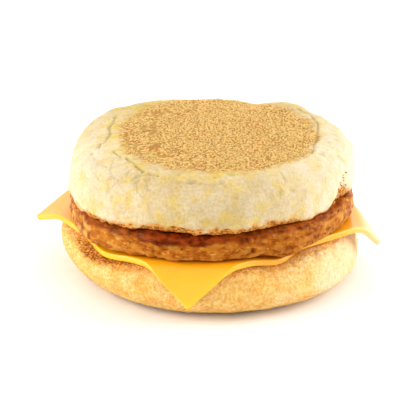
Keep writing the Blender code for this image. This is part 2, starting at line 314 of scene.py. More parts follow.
def widened(point, amount):
    """The point moved straight away from the Z axis."""
    radius = distance_out(point)
    scale = (radius + amount) / radius if radius > MM else 1.0
    return Vector((point.x * scale, point.y * scale, point.z))


def swelled(point, swells):
    """The point pushed outwards and upwards by bumps, each at its own direction and height."""
    push = lift = 0.0
    for target, height, spread, depth, out, up in swells:
        share = near(direction_of(point), target, spread) * math.exp(-(((point.z - height) / depth) ** 2))
        push += share * out
        lift += share * up
    share = smooth(SHAPE_START, SHAPE_END, distance_out(point))
    moved = widened(point, share * push)
    moved.z += share * lift
    return moved


def raised_waist(height, waist, waist_there, top):
    """A height on a profile whose widest ring moves from waist to waist_there, its ends fixed."""
    if height <= waist:
        return height * waist_there / waist
    return top - (top - height) * (top - waist_there) / (top - waist)


def sag(point):
    """How far the filling has sagged at one place."""
    share = smooth(SAG_START, SAG_END, distance_out(point))
    return SAG_DROP * share * near(direction_of(point), SAG_DIRECTION, SAG_SPREAD)


def arc(centre, half_width, half_height, start, end, count, fullness=1.0):
    """Profile points of a quarter of an ellipse. A fullness under 1 makes it squarer."""
    points = []
    for i in range(count + 1):
        turn = math.radians(start + (end - start) * i / count)
        across = math.copysign(abs(math.cos(turn)) ** fullness, math.cos(turn))
        up = math.copysign(abs(math.sin(turn)) ** fullness, math.sin(turn))
        points.append((centre[0] + half_width * across, centre[1] + half_height * up))
    return points


def rings(start, end, step):
    """Radii from start to just short of end, about a step apart."""
    return list(np.linspace(start, end, max(2, round(abs(end - start) / step)), endpoint=False))


def turned(name, profile, steps, shape, relief):
    """A piece made by turning a profile, given from its top to its bottom, round Z.

    The shape gives each point of the turned surface its place. The relief then moves it along
    its normal, and gives the shares that the material reads.
    """
    plain, rows = [], []
    for radius, height in profile:
        count = 1 if radius < 0.01 * MM else steps
        rows.append(range(len(plain), len(plain) + count))
        for i in range(count):
            turn = 2 * math.pi * i / count
            plain.append(Vector((radius * math.cos(turn), radius * math.sin(turn), height)))
    faces = []
    for upper, lower in zip(rows, rows[1:]):
        for i in range(steps):
            j = (i + 1) % steps
            corners = (
                upper[i % len(upper)],
                lower[i % len(lower)],
                lower[j % len(lower)],
                upper[j % len(upper)],
            )
            faces.append(tuple(dict.fromkeys(corners)))
    mesh = bpy.data.meshes.new(name)
    mesh.from_pydata([shape(point) for point in plain], [], faces)
    mesh.update()
    carve(mesh, relief, plain)
    return placed(name, mesh)


def carve(mesh, relief, plain):
    """Moves each vertex along its normal by the relief, and keeps the relief's named shares."""
    normals = [vertex.normal.copy() for vertex in mesh.vertices]
    rows = []
    for vertex, normal, flat in zip(mesh.vertices, normals, plain):
        height, shares = relief(vertex.co, flat)
        vertex.co += height * normal
        rows.append(shares)
    keep_shares(mesh, rows)
    mesh.shade_smooth()
    mesh.update()


def keep_shares(mesh, rows):
    """Stores the named shares of each vertex on the mesh, where the material reads them."""
    for name in rows[0]:
        values = [row[name] for row in rows]
        mesh.attributes.new(name, "FLOAT", "POINT").data.foreach_set("value", values)


def placed(name, mesh):
    """An object for a mesh, linked to the scene and riding on the one body."""
    piece = bpy.data.objects.new(name, mesh)
    bpy.context.scene.collection.objects.link(piece)
    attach(piece, "root")
    return piece


def add(tree, kind, inputs=None, stops=None, **settings):
    """Adds a node, with its settings, its ramp stops, and its sockets set or linked."""
    node = tree.nodes.new(kind)
    for key, value in settings.items():
        setattr(node, key, value)
    for key, value in (inputs or {}).items():
        if isinstance(value, bpy.types.NodeSocket):
            tree.links.new(value, node.inputs[key])
        else:
            node.inputs[key].default_value = value
    if stops:
        ramp = node.color_ramp
        while len(ramp.elements) < len(stops):
            ramp.elements.new(1.0)
        for element, (position, shade) in zip(ramp.elements, stops):
            element.position = position
            element.color = (*shade, 1.0)
    return node


def new_material(name, **sockets):
    """An empty Principled material. Sockets are set by their names, with _ for a space."""
    material = bpy.data.materials.new(name)
    material.use_nodes = True
    shader = material.node_tree.nodes["Principled BSDF"]
    for key, value in sockets.items():
        shader.inputs[key.replace("_", " ")].default_value = value
    return material, material.node_tree, shader


def per(mm):
    """Texture scale that gives features of this size."""
    return 1 / (mm * MM)


def noisy(tree, here, mm, detail=2.0):
    """Output of soft noise with features of this size."""
    return add(tree, "ShaderNodeTexNoise", {"Vector": here, "Scale": per(mm), "Detail": detail}).outputs[0]


def ranged(tree, value, low, high, start=0.0, end=1.0):
    """Output that goes from start to end while the value goes from low to high."""
    return add(tree, "ShaderNodeMapRange", {0: value, 1: low, 2: high, 3: start, 4: end}).outputs[0]


def share_of(tree, name):
    """Output of a share that the mesh carries."""
    return add(tree, "ShaderNodeAttribute", attribute_name=name).outputs["Fac"]


def times(tree, first, second):
    """Output of a product, kept between 0 and 1."""
    return add(tree, "ShaderNodeMath", {0: first, 1: second}, operation="MULTIPLY", use_clamp=True).outputs[0]


def mixed(tree, share, first, second, blend="MIX"):
    """Output that goes from the first colour to the second as the share rises."""
    first, second = (
        side if isinstance(side, bpy.types.NodeSocket) else (*side, 1.0) for side in (first, second)
    )
    node = add(tree, "ShaderNodeMix", {0: share, 6: first, 7: second}, data_type="RGBA", blend_type=blend)
    return node.outputs[2]


def roughened(tree, shader, height, depth):
    """Gives the surface a bump of this depth."""
    bump = add(tree, "ShaderNodeBump", {"Height": height, "Strength": 1.0, "Distance": depth})
    tree.links.new(bump.outputs[0], shader.inputs["Normal"])


def crust_material(name, ground, stain, stained, mottling, speck, grit_depth):
    """Baked yeast dough dusted with flour and cornmeal: dry and matt, lit a little from inside.

    Stained and mottling say how strongly the stains and the flour's mottling show.
    """
    material, tree, shader = new_material(
        name,
        Roughness=0.85,
        IOR=1.45,
        Specular_IOR_Level=0.2,
        Subsurface_Weight=0.15,
        Subsurface_Scale=2 * MM,
    )
    shader.inputs["Subsurface Radius"].default_value = (1.0, 0.6, 0.3)
    bread = bpy.context.scene.muffin_bread
    here = add(tree, "ShaderNodeTexCoord").outputs["Object"]
    grit = noisy(tree, here, 0.8)

    # Soft mottling 7 mm across, flour where the mesh says, which on the lit sides is also painted light, and
    # stains 4 mm across.
    mottled = ranged(tree, noisy(tree, here, 7.0, 5.0), 0.35, 0.65, 0.0, mottling)
    blots = noisy(tree, here, 4.5, 3.0)
    unfloured_unlit = ranged(tree, share_of(tree, "floury"), 0.0, 1.0, 1.0, 0.4)
    body = mixed(tree, mottled, ground, bread.floury)
    body = mixed(tree, share_of(tree, "floury"), body, bread.floury)
    body = mixed(tree, times(tree, unfloured_unlit, ranged(tree, blots, 0.46, 0.7, 0.0, stained)), body, stain)
    near_disc = times(tree, share_of(tree, "stained"), ranged(tree, blots, 0.25, 0.55))
    body = mixed(tree, near_disc, body, stain)
    # Painted shade in the wrinkles and pits of the crust.
    body = mixed(tree, times(tree, share_of(tree, "crease"), 0.7), body, bread.crease_shade)

    # The griddle browns the crust, most of all in spots 6 mm across. Flecks 1 mm across show
    # between the grains, and all of it fades out unevenly at the disc's edge.
    spots = ranged(tree, noisy(tree, here, 6.0, 5.0), 0.5, 0.62, 0.0, 0.9)
    fleck = noisy(tree, here, 1.3, 4.0)
    disc = mixed(tree, spots, bread.griddled, bread.browned)
    disc = mixed(tree, ranged(tree, fleck, 0.5, 0.62, 0.0, 0.75), disc, bread.meal)
    disc = mixed(tree, ranged(tree, fleck, 0.5, 0.38, 0.0, 0.5), disc, linear(DISC_FLECK))
    edge = {0: share_of(tree, "griddled"), 1: noisy(tree, here, 1.8, 3.0)}
    fading = add(tree, "ShaderNodeMath", edge, operation="ADD").outputs[0]
    body = mixed(tree, ranged(tree, fading, 0.5, 1.35), body, disc)

    # Specks 1 mm across: meal lies in clumps, and the crust between them is darker.
    stops = ((0.38, speck), (0.6, (1.0, 1.0, 1.0)))
    clumps = add(tree, "ShaderNodeValToRGB", {0: noisy(tree, here, 1.0, 3.0)}, stops).outputs[0]
    shown = ranged(tree, share_of(tree, "floury"), 0.0, 0.6, 1.0, 0.35)
    body = mixed(tree, shown, body, clumps, "MULTIPLY")

    # Toasting catches the high grit first, and goes from gold to brown.
    caught = times(tree, share_of(tree, "toasted"), ranged(tree, grit, 0.4, 0.6, 0.45, 1.3))
    body = mixed(tree, ranged(tree, caught, 0.0, 0.45, 0.0, 0.95), body, linear(TOAST_GOLD))
    body = mixed(tree, ranged(tree, caught, 0.45, 1.0), body, bread.toasted)
    tree.links.new(body, shader.inputs["Base Color"])
    roughened(tree, shader, grit, grit_depth)
    return material


def shaped_heel(point):
    """Where a point of the turned heel goes on the uneven, baked one."""
    direction = direction_of(point)
    radius = distance_out(point)
    level = point.z / HEEL_THICKNESS
    edge = smooth(SHAPE_START, HEEL_RADIUS, radius)
    waist = HEEL_WAIST + edge * waves(direction, HEEL_WAIST_WAVES)
    moved = Vector((point.x, point.y, raised_waist(point.z, HEEL_WAIST, waist, HEEL_THICKNESS)))
    moved = widened(moved, edge * waves(direction, HEEL_OUTLINE_WAVES))
    moved = swelled(moved, HEEL_SWELLS)
    moved.z -= sag(moved) * smooth(0.3, 1.0, level)
    torn = smooth(HEEL_TORN_START, HEEL_TORN_END, radius) * smooth(0.75, 1.0, level)
    moved.z -= torn * HEEL_TORN_DEPTH * (1 + lumps(moved, 6 * MM, 3))
    moved.z = max(0.0, moved.z)
    return moved


def heel_relief(point, flat):
    """Lumps, fine wrinkles and toasted places of the heel, with painted shade in the wrinkles, and flour with
    painted light on the right side.
    """
    level = flat.z / HEEL_THICKNESS
    direction = direction_of(point) % 360
    side = smooth(0.0, 0.12, level) * smooth(30 * MM, 40 * MM, distance_out(flat))
    flatter = Vector((point.x, point.y, 2.0 * point.z))
    wrinkle = cracks(flatter, 9 * MM, 5) * smooth(0.0, 0.5, lumps(point, 12 * MM, 8))
    height = 0.26 * lumps(point, 6 * MM, 1) + 0.16 * lumps(point, 2.2 * MM, 2) - 0.2 * wrinkle
    torn = smooth(0.82, 0.97, level) * smooth(43 * MM, HEEL_TORN_END, distance_out(flat))
    height = side * height + torn * (0.4 * lumps(point, 2.0 * MM, 4) - 0.2)
    ragged = level + 0.09 * lumps(point, 3 * MM, 6) + 0.1 * lumps(point, 1.2 * MM, 7)
    band = near(direction, 213, 14) * smooth(0.76, 0.94, ragged)
    band += 0.4 * near(direction, 236, 14) * smooth(0.7, 0.95, ragged)
    ring = smooth(0.93, 0.99, ragged)
    # Flour, and painted light on the right side, where the right lamp falls.
    side_lit_flour = 0.6 * smooth(285, 335, direction + 14 * lumps(point, 9 * MM, 9)) + 0.6 * smooth(45, 5, direction)
    return bpy.context.scene.muffin_bread.relief * height * MM, {
        # Painted shade in the wrinkles.
        "crease": 0.4 * side * wrinkle,
        "floury": min(1.0, side_lit_flour) * smooth(0.05, 0.5, level),
        "toasted": min(1.0, 0.8 * band + 0.4 * ring),
        "griddled": smooth(0.12, 0.02, level + 0.06 * lumps(point, 4 * MM, 10)),
    }


class MUFFIN_OT_heel(bpy.types.Operator):
    """Makes the lower muffin half"""

    bl_idname = "muffin.heel"
    bl_label = "Muffin heel"

    def execute(self, context):
        bread = context.scene.muffin_bread
        lip_centre = (HEEL_RADIUS - HEEL_LIP, HEEL_WAIST)
        flank_centre = (HEEL_RADIUS - HEEL_FLANK, HEEL_WAIST)
        coarse = COARSE * bread.step
        profile = [(r, HEEL_THICKNESS) for r in rings(0.0, HEEL_RADIUS - HEEL_LIP, coarse)]
        profile += arc(lip_centre, HEEL_LIP, HEEL_THICKNESS - HEEL_WAIST, 90, 0, round(12 * MM / bread.step))
        profile += arc(flank_centre, HEEL_FLANK, HEEL_WAIST, 0, -90, round(20 * MM / bread.step))[1:]
        profile += [(r, 0.0) for r in rings(HEEL_RADIUS - HEEL_FLANK, 0.0, coarse)[1:]] + [(0.0, 0.0)]
        steps = round(2 * math.pi * HEEL_RADIUS / bread.step)
        heel = turned("heel_crust", profile, steps, shaped_heel, heel_relief)
        crust = crust_material(
            "toasted_muffin_crust",
            bread.golden,
            linear(HEEL_STAIN),
            stained=0.7,
            mottling=0.2,
            speck=(0.88, 0.7, 0.44),
            grit_depth=0.45 * MM,
        )
        heel.data.materials.append(crust)
        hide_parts("muffin_heel")
        return {"FINISHED"}


def folded(point, direction, fold, degrees, radius):
    """The point after one corner of a flat sheet is bent down about a straight line."""
    turn = math.radians(direction)
    ahead = Vector((math.cos(turn), math.sin(turn), 0.0))
    past = point.dot(ahead) - fold
    if past <= 0:
        return point
    bent = min(math.radians(degrees), past / radius)
    straight = past - radius * bent
    out = radius * math.sin(bent) + straight * math.cos(bent)
    down = radius * (1 - math.cos(bent)) + straight * math.sin(bent)
    return point + ahead * (out - past) - Vector((0.0, 0.0, down))


def draped_cheese(point, middle):
    """Where a point of the flat square goes on the slice that lies on the heel."""
    moved = Matrix.Rotation(math.radians(45), 3, "Z") @ point
    for fold in CHEESE_FOLDS:
        moved = folded(moved, *fold)
    moved = Matrix.Rotation(math.radians(CHEESE_TURN), 3, "Z") @ moved
    past = smooth(CHEESE_SLUMP_START, CHEESE_SIDE / 2, point.length)
    flow = drop = 0.0
    for target, spread, out, down in CHEESE_SLUMPS:
        share = past * near(direction_of(moved), target, spread)
        flow += share * out
        drop += share * down
    moved = widened(moved, flow)
    moved.z += middle - drop - sag(moved)
    return moved


def cheese_shares(place, border):
    """How much painted light one place of the slice gets at the front corner and painted highlight along its
    edges, how much painted shade and fat it gets near the patty, and how much painted reflection whitens the
    right corner.
    """
    radius, direction = distance_out(place), direction_of(place)
    # Painted light on the front corner and painted highlight along the edges.
    corner = smooth(46 * MM, 58 * MM, radius) * near(direction, FRONT, 50)
    return {
        "lit_tip_and_edges": max(0.3 * smooth(1.8 * MM, 0.2 * MM, border), corner),
        # Fat, and painted shade near the patty.
        "grease_and_patty_shade": 0.5 * smooth(54 * MM, 47 * MM, radius) * near(direction, 305, 30),
        # Painted reflection of the white surroundings on the right corner.
        "painted_reflection": 0.6 * smooth(48 * MM, 57 * MM, radius) * near(direction, RIGHT - 8, 30),
    }


def cheese_material(tint, lit_tip_and_edges):
    """Processed cheese, cast in a sheet and softened by heat: satin, with light inside it."""
    material, tree, shader = new_material(
        "processed_cheese",
        Roughness=0.3,
        IOR=1.5,
        Coat_Weight=0.12,
        Coat_Roughness=0.12,
        Subsurface_Weight=0.3,
        Subsurface_Scale=3 * MM,
    )
    shader.inputs["Subsurface Radius"].default_value = (1.0, 0.6, 0.1)
    here = add(tree, "ShaderNodeTexCoord").outputs["Object"]
    # Painted light: yellower at the front corner, with painted highlights along the edges.
    cloud = ranged(tree, noisy(tree, here, 14.0), 0.3, 0.7, 0.6, 1.3)
    body = mixed(tree, times(tree, share_of(tree, "lit_tip_and_edges"), cloud), tint, lit_tip_and_edges)
    # Fat and painted shade near the patty.
    body = mixed(tree, share_of(tree, "grease_and_patty_shade"), body, linear(SHADED_GREASY_CHEESE))
    # Painted reflection of the white surroundings on the right corner.
    body = mixed(tree, share_of(tree, "painted_reflection"), body, linear(LIT_CHEESE))
    tree.links.new(body, shader.inputs["Base Color"])
    roughened(tree, shader, noisy(tree, here, 6.0), 0.15 * MM)
    return material


class MUFFIN_OT_cheese(bpy.types.Operator):
    """Makes the cheese slice"""

    bl_idname = "muffin.cheese"
    bl_label = "Cheese slice"

    def execute(self, context):
        filling = context.scene.muffin_filling
        middle = HEEL_THICKNESS + GAP + filling.thickness / 2
        side = np.linspace(-CHEESE_SIDE / 2, CHEESE_SIDE / 2, CHEESE_CELLS + 1)
        places = [draped_cheese(Vector((x, y, 0.0)), middle) for y in side for x in side]
        row = CHEESE_CELLS + 1
        faces = [
            (j * row + i, j * row + i + 1, (j + 1) * row + i + 1, (j + 1) * row + i)
            for j in range(CHEESE_CELLS)
            for i in range(CHEESE_CELLS)
        ]
        mesh = bpy.data.meshes.new("cheese_sheet")
        mesh.from_pydata(places, [], faces)
        mesh.shade_smooth()
        border = [CHEESE_SIDE / 2 - max(abs(x), abs(y)) for y in side for x in side]
        keep_shares(mesh, [cheese_shares(place, distance) for place, distance in zip(places, border)])
        cheese = placed("cheese_sheet", mesh)
        sheet = cheese.modifiers.new("Thickness", "SOLIDIFY")
        sheet.thickness = filling.thickness
        sheet.offset = 0.0
        rounded = cheese.modifiers.new("Soft edge", "BEVEL")
        rounded.width = CHEESE_SOFT_EDGE
        rounded.segments = 4
        rounded.limit_method = "ANGLE"
        rounded.angle_limit = math.radians(60)
        cheese.data.materials.append(cheese_material(filling.cheese, filling.lit_tip_and_edges))
        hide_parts("cheese_slice")
        return {"FINISHED"}


def shaped_patty(point):
    """Where a point of the turned slab goes on the pressed, cooked one."""
    radius = distance_out(point)
    edge = smooth(SHAPE_START, PATTY_RADIUS, radius)
    side = smooth(PATTY_HIDDEN_RADIUS, PATTY_RADIUS, radius)
    moved = widened(point, edge * waves(direction_of(point), PATTY_OUTLINE_WAVES))
    moved = swelled(moved, PATTY_SWELLS)
    moved = widened(moved, side * PATTY_LUMP * lumps(moved, PATTY_LUMP_SPACING, 5))
    moved.z += HEEL_THICKNESS + 2 * GAP + bpy.context.scene.muffin_filling.thickness - sag(moved)
    return moved


def patty_relief(point, flat):
    """Lumps and pits of ground meat, where the griddle has seared it, and fat; with painted shade in the
    pits, under the crown's rim and on the front-right side, and painted highlight on the lit ends.
    """
    level = flat.z / PATTY_THICKNESS
    direction = direction_of(point)
    side = smooth(PATTY_HIDDEN_RADIUS, 44 * MM, distance_out(flat))
    flatter = Vector((point.x, point.y, 1.8 * point.z))
    pit = pits(point, 1.9 * MM, 3) * smooth(0.1, 0.4, lumps(point, 7 * MM, 8))
    height = 0.5 * lumps(flatter, 5.5 * MM, 1) + 0.36 * lumps(flatter, 2.2 * MM, 2)
    height += 0.16 * lumps(point, MM, 4) - 0.5 * pit
    ragged = level + 0.14 * lumps(point, 4.5 * MM, 6) + 0.07 * lumps(point, 1.5 * MM, 7)
    edge = 0.84 - 0.22 * near(direction, 257, 30)
    # The griddle's sear along the top edge, with painted shadow of the crown's rim at the left end.
    browned = 0.45 + 0.5 * near(direction, 260, 30) + 0.25 * near(direction, 205, 18)
    sear = smooth(edge - 0.06, edge + 0.06, ragged) * browned
    # Also the seared bottom, and painted shade over the whole front-right side.
    sear += 0.5 * smooth(0.1, 0.0, level) + 0.2 * near(direction, 312, 25)
    # Fat, and painted highlight on the left and right ends, where the side lamps fall.
    fatty = 0.2 + 0.6 * near(direction, 205, 22) + 0.25 * near(direction, 340, 18)
    fatty *= smooth(0.0, 0.35, lumps(flatter, 3.5 * MM, 9)) * smooth(0.9, 0.6, level)
    return side * height * MM, {
        "sear": min(1.0, sear),
        # Painted shade in the pits.
        "pit": side * pit,
        "fatty": fatty,
    }


def meat_material(meat, sear, fat_and_highlight_tone):
    """Ground pork browned on a griddle: moist, with specks of fat and a thin coat of grease."""
    material, tree, shader = new_material(
        "griddled_sausage",
        Roughness=0.38,
        IOR=1.42,
        Specular_IOR_Level=0.1,
        Specular_Tint=(1.0, 0.65, 0.35, 1.0),
        Subsurface_Weight=0.08,
        Subsurface_Scale=1.5 * MM,
    )
    shader.inputs["Subsurface Radius"].default_value = (1.0, 0.35, 0.1)
    here = add(tree, "ShaderNodeTexCoord").outputs["Object"]
    flat = add(tree, "ShaderNodeMapping", {"Vector": here, "Scale": (1.0, 1.0, 2.2)}).outputs[0]
    grain = noisy(tree, flat, 3.6, 5.0)
    stops = ((0.34, linear(DARK_MEAT)), (0.48, meat), (0.64, linear(LIGHT_MEAT)))
    tone = add(tree, "ShaderNodeValToRGB", {0: grain}, stops)
    fleck = ranged(tree, noisy(tree, flat, 1.6, 2.0), 0.55, 0.75, 0.0, 0.6)
    body = mixed(tree, fleck, tone.outputs[0], fat_and_highlight_tone)
    # Fat, and painted highlight on the lit ends.
    body = mixed(tree, share_of(tree, "fatty"), body, fat_and_highlight_tone)
    # Painted shade in the pits.
    body = mixed(tree, times(tree, share_of(tree, "pit"), 0.8), body, linear(MEAT_PIT_SHADE))
    # Sear, and painted shade under the crown's rim and on the front-right side.
    red = mixed(tree, ranged(tree, grain, 0.4, 0.6), sear, linear(RED_SEAR_AND_SHADE))
    body = mixed(tree, share_of(tree, "sear"), body, red)
    tree.links.new(body, shader.inputs["Base Color"])
    roughened(tree, shader, noisy(tree, here, 1.2, 3.0), 0.3 * MM)
    return material


class MUFFIN_OT_patty(bpy.types.Operator):
    """Makes the sausage patty"""

    bl_idname = "muffin.patty"
    bl_label = "Sausage patty"

    def execute(self, context):
        filling = context.scene.muffin_filling
        step = context.scene.muffin_bread.step
        half = PATTY_THICKNESS / 2
        centre = (PATTY_RADIUS - PATTY_ROUND, half)
        count = round(7 * MM / step)
        inner = rings(0.0, PATTY_HIDDEN_RADIUS, 8 * step)
        outer = rings(PATTY_HIDDEN_RADIUS, PATTY_RADIUS - PATTY_ROUND, 1.2 * step)
        profile = [(r, PATTY_THICKNESS) for r in inner + outer]
        profile += arc(centre, PATTY_ROUND, half, 90, 0, count, 0.85)
        profile += arc(centre, PATTY_ROUND, half, 0, -90, count, 0.6)[1:]
        profile += [(r, 0.0) for r in reversed(inner + outer)]
        steps = round(2 * math.pi * PATTY_RADIUS / step)
        patty = turned("patty_meat", profile, steps, shaped_patty, patty_relief)
        patty.data.materials.append(meat_material(filling.meat, filling.sear, filling.fat_and_highlight_tone))
        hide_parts("sausage_patty")
        return {"FINISHED"}


def shaped_crown(point):
    """Where a point of the turned crown goes on the uneven, baked one."""
    direction = direction_of(point)
    radius = distance_out(point)
    level = point.z / CROWN_THICKNESS
    edge = smooth(SHAPE_START, CROWN_RADIUS, radius)
    waist = CROWN_WAIST + edge * waves(direction, CROWN_WAIST_WAVES)
    moved = Vector((point.x, point.y, raised_waist(point.z, CROWN_WAIST, waist, CROWN_THICKNESS)))
    moved = widened(moved, edge * waves(direction, CROWN_OUTLINE_WAVES))
    on_top = smooth(0.5, 1.0, level)
    moved.x += CROWN_DISC_SHIFT * on_top * (1 - smooth(CROWN_DISC_RADIUS, CROWN_RADIUS, radius))
    moved = swelled(moved, CROWN_SWELLS)
    outer = smooth(CROWN_RIM_START, CROWN_RIM_END, radius)
    rim = outer * (1 - smooth(0.0, 0.45, level))
    for target, spread, push, lift in CROWN_RIM:
        share = rim * near(direction, target, spread)
        moved = widened(moved, share * push)
        moved.z += share * lift
    torn = outer * smooth(0.3, 0.12, level)
    moved.z += rim * 0.45 * MM * lumps(moved, 6 * MM, 11) + torn * 1.3 * MM * lumps(moved, 2.6 * MM, 12)
    moved.z += HEEL_THICKNESS + PATTY_THICKNESS + bpy.context.scene.muffin_filling.thickness + 3 * GAP
    moved.z -= sag(moved) * (1 - smooth(0.0, 0.7, level))
    return moved


def crease_at(point):
    """How far the named wrinkles lower one place, and how much painted shade it gets from lying in one of
    them.

    The crust bulges up a little on both sides of each wrinkle.
    """
    depth = share = 0.0
    wander = 0.5 * MM * lumps(point, 3.5 * MM, 21)
    for deep, half_width, line in CROWN_CREASES:
        for (ax, ay), (bx, by) in zip(line, line[1:]):
            along = Vector(((bx - ax) * MM, (by - ay) * MM))
            start = Vector((point.x - ax * MM, point.y - ay * MM))
            t = min(1.0, max(0.0, start.dot(along) / along.length_squared))
            off = abs((start - t * along).length + wander) / (half_width * MM)
            here = math.exp(-off * off) * min(1.0, deep / CREASE_FULL_DEPTH)
            if off < 6 and here >= share:
                share = here
                depth = deep * MM * (math.exp(-off * off) - 0.4 * math.exp(-((0.5 * off - 1.4) ** 2)))
    return depth, share


def crown_relief(point, flat):
    """Griddled disc, wrinkles, lumps, pits and torn edge of the crown, with painted shade in the wrinkles and
    pits, and flour with painted light on the left and right sides.
    """
    level = flat.z / CROWN_THICKNESS
    direction = direction_of(point)
    middle = Vector((CROWN_DISC_SHIFT, -MM, 0.0))
    bearing = direction_of(point - middle)
    reach = CROWN_GRIDDLED_RADIUS + CROWN_GRIDDLED_BACK * near(bearing, 100, 42)
    reach += 1.8 * MM * lumps(point, 6 * MM, 31) + 1.4 * MM * lumps(point, 2 * MM, 32)
    inside = reach - distance_out(point - middle)
    griddled = smooth(-3.5 * MM, 2.5 * MM, inside) * smooth(0.55, 0.75, level)
    side = (1 - griddled) * smooth(0.02, 0.2, level)
    flatter = Vector((point.x, point.y, 2.2 * point.z))
    wrinkled = 0.3 * smooth(0.0, 0.4, lumps(point, 14 * MM, 14)) + 0.55 * near(direction, 222, 28)
    wrinkle = seams(flatter, 8 * MM, 13) * min(1.0, wrinkled) * smooth(0.55, 0.8, level)
    pit = pits(point, 2.4 * MM, 15) * smooth(0.0, 0.4, lumps(point, 11 * MM, 16))
    height = 0.6 * lumps(point, 7 * MM, 17) + 0.18 * lumps(point, 2.6 * MM, 18) - 0.6 * wrinkle - 0.3 * pit
    height = side * height + 0.3 * griddled * lumps(point, 9 * MM, 19)
    waist = CROWN_WAIST + waves(direction, CROWN_WAIST_WAVES)
    turned_under = waist * (1 - math.sin(math.atan(TURNED_UNDER * waist / CROWN_LIP)))
    above_edge = raised_waist(flat.z, CROWN_WAIST, waist, CROWN_THICKNESS) - turned_under
    above_edge += 1.2 * MM * lumps(point, 5 * MM, 20) + 0.9 * MM * lumps(point, 1.6 * MM, 22)
    golden = 0.2 + 0.3 * near(direction, 225, 25) + 0.6 * near(direction, 276, 8)
    toasted = golden * smooth(0.9 * MM, -0.1 * MM, above_edge)
    toasted = min(1.0, toasted + 0.6 * smooth(0.1 * MM, -0.9 * MM, above_edge))
    depth, crease = crease_at(point) if level > 0.6 else (0.0, 0.0)
    # Flour, and painted light on the left and right sides, where the lamps fall.
    side_lit_flour = 0.65 * near(direction, LEFT + 15, 42) + 0.95 * near(direction, RIGHT - 15, 45)
    ring = smooth(-11 * MM, 0.0, inside) * smooth(0.55, 0.75, level)
    return bpy.context.scene.muffin_bread.relief * (height * MM - depth), {
        # Painted shade in the wrinkles and pits.
        "crease": min(1.0, side * (0.4 * wrinkle + 0.4 * pit) + crease),
        "stained": ring * (0.2 + 0.7 * near(bearing, 175, 60)),
        "floury": min(1.0, side_lit_flour) * (1 - griddled),
        "toasted": toasted,
        "griddled": griddled,
    }


class MUFFIN_OT_crown(bpy.types.Operator):
    """Makes the upper muffin half"""

    bl_idname = "muffin.crown"
    bl_label = "Muffin crown"

    def execute(self, context):
        bread = context.scene.muffin_bread
        bow = CROWN_DISC_DROP / CROWN_DISC_RADIUS**2
        rim_height = CROWN_THICKNESS - CROWN_DISC_DROP
        shoulder_centre = (CROWN_DISC_RADIUS, CROWN_WAIST)
        shoulder_width = CROWN_RADIUS - CROWN_DISC_RADIUS
        lip_centre = (CROWN_RADIUS - CROWN_LIP, CROWN_WAIST)
        disc = rings(0.0, CROWN_DISC_RADIUS, 1.2 * bread.step)
        profile = [(radius, CROWN_THICKNESS - bow * radius**2) for radius in disc]
        count = round(22 * MM / bread.step)
        profile += arc(shoulder_centre, shoulder_width, rim_height - CROWN_WAIST, 90, 0, count, 0.9)
        profile += arc(lip_centre, CROWN_LIP, CROWN_WAIST, 0, -90, round(8 * MM / bread.step))[1:]
        coarse = COARSE * bread.step
        profile += [(r, 0.0) for r in rings(CROWN_RADIUS - CROWN_LIP, 0.0, coarse)[1:]] + [(0.0, 0.0)]
        steps = round(2 * math.pi * CROWN_RADIUS / bread.step)
        crown = turned("crown_crust", profile, steps, shaped_crown, crown_relief)
        crust = crust_material(
            "griddled_muffin_crust",
            bread.pale,
            bread.dusted,
            stained=0.95,
            mottling=0.5,
            speck=(0.89, 0.84, 0.73),
            grit_depth=0.4 * MM,
        )
        crown.data.materials.append(crust)
        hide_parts("muffin_crown")
        return {"FINISHED"}


def nuggets(name, spots, sizes, squash, seed):
    """One piece of many small rough lumps, each turned at random and sunk in by a third."""
    rng = np.random.default_rng(seed)
    bpy.ops.mesh.primitive_ico_sphere_add(subdivisions=1, radius=1.0)
    ball = bpy.context.object
    shape = np.array([vertex.co for vertex in ball.data.vertices])
    corners = np.array([face.vertices for face in ball.data.polygons])
    bpy.data.objects.remove(ball)
    points, faces = [], []
    for vertex, size in zip(spots, sizes):
        normal = vertex.normal
        turn = normal.to_track_quat("Z", "Y").to_matrix() @ Matrix.Rotation(rng.uniform(0, 6.3), 3, "Z")
        drift = Vector(0.3 * size * rng.normal(size=3))
        place = vertex.co + drift + normal * (size * squash / 6 - drift.dot(normal))
        lump = shape * (1 + 0.28 * rng.uniform(-1, 1, (len(shape), 1))) * (1, rng.uniform(0.7, 1), squash)
        faces.append(corners + len(points) * len(shape))
        points.append(lump @ np.array(turn).T * size / 2 + np.array(place))
    mesh = bpy.data.meshes.new(name)
    mesh.from_pydata(np.concatenate(points).tolist(), [], np.concatenate(faces).tolist())
    mesh.shade_smooth()
    return placed(name, mesh)


def spread(piece, share, spacing, seed, most=None):
    """Vertices of a piece, taken as often as their share says, none closer than the spacing.

    It stops when it has taken the most that are wanted.
    """
    rng = np.random.default_rng(seed)
    vertices = piece.data.vertices
    taken, spots = {}, []
    for index in rng.permutation(len(vertices)):
        vertex = vertices[index]
        if rng.random() > share(vertex):
            continue
        x, y, z = (math.floor(c / spacing) for c in vertex.co)
        cells = [(x + i, y + j, z + k) for i in (-1, 0, 1) for j in (-1, 0, 1) for k in (-1, 0, 1)]
        if all((vertex.co - other).length > spacing for cell in cells for other in taken.get(cell, ())):
            taken.setdefault((x, y, z), []).append(vertex.co)
            spots.append(vertex)
            if len(spots) == most:
                break
    return spots


def grain_material(name, first, second):
    """Ground maize, dry: small matt yellow chips."""
    material, tree, shader = new_material(name, Roughness=0.6, IOR=1.5, Specular_IOR_Level=0.4)
    here = add(tree, "ShaderNodeTexCoord").outputs["Object"]
    body = mixed(tree, ranged(tree, noisy(tree, here, 1.6), 0.35, 0.65), first, second)
    tree.links.new(body, shader.inputs["Base Color"])
    return material


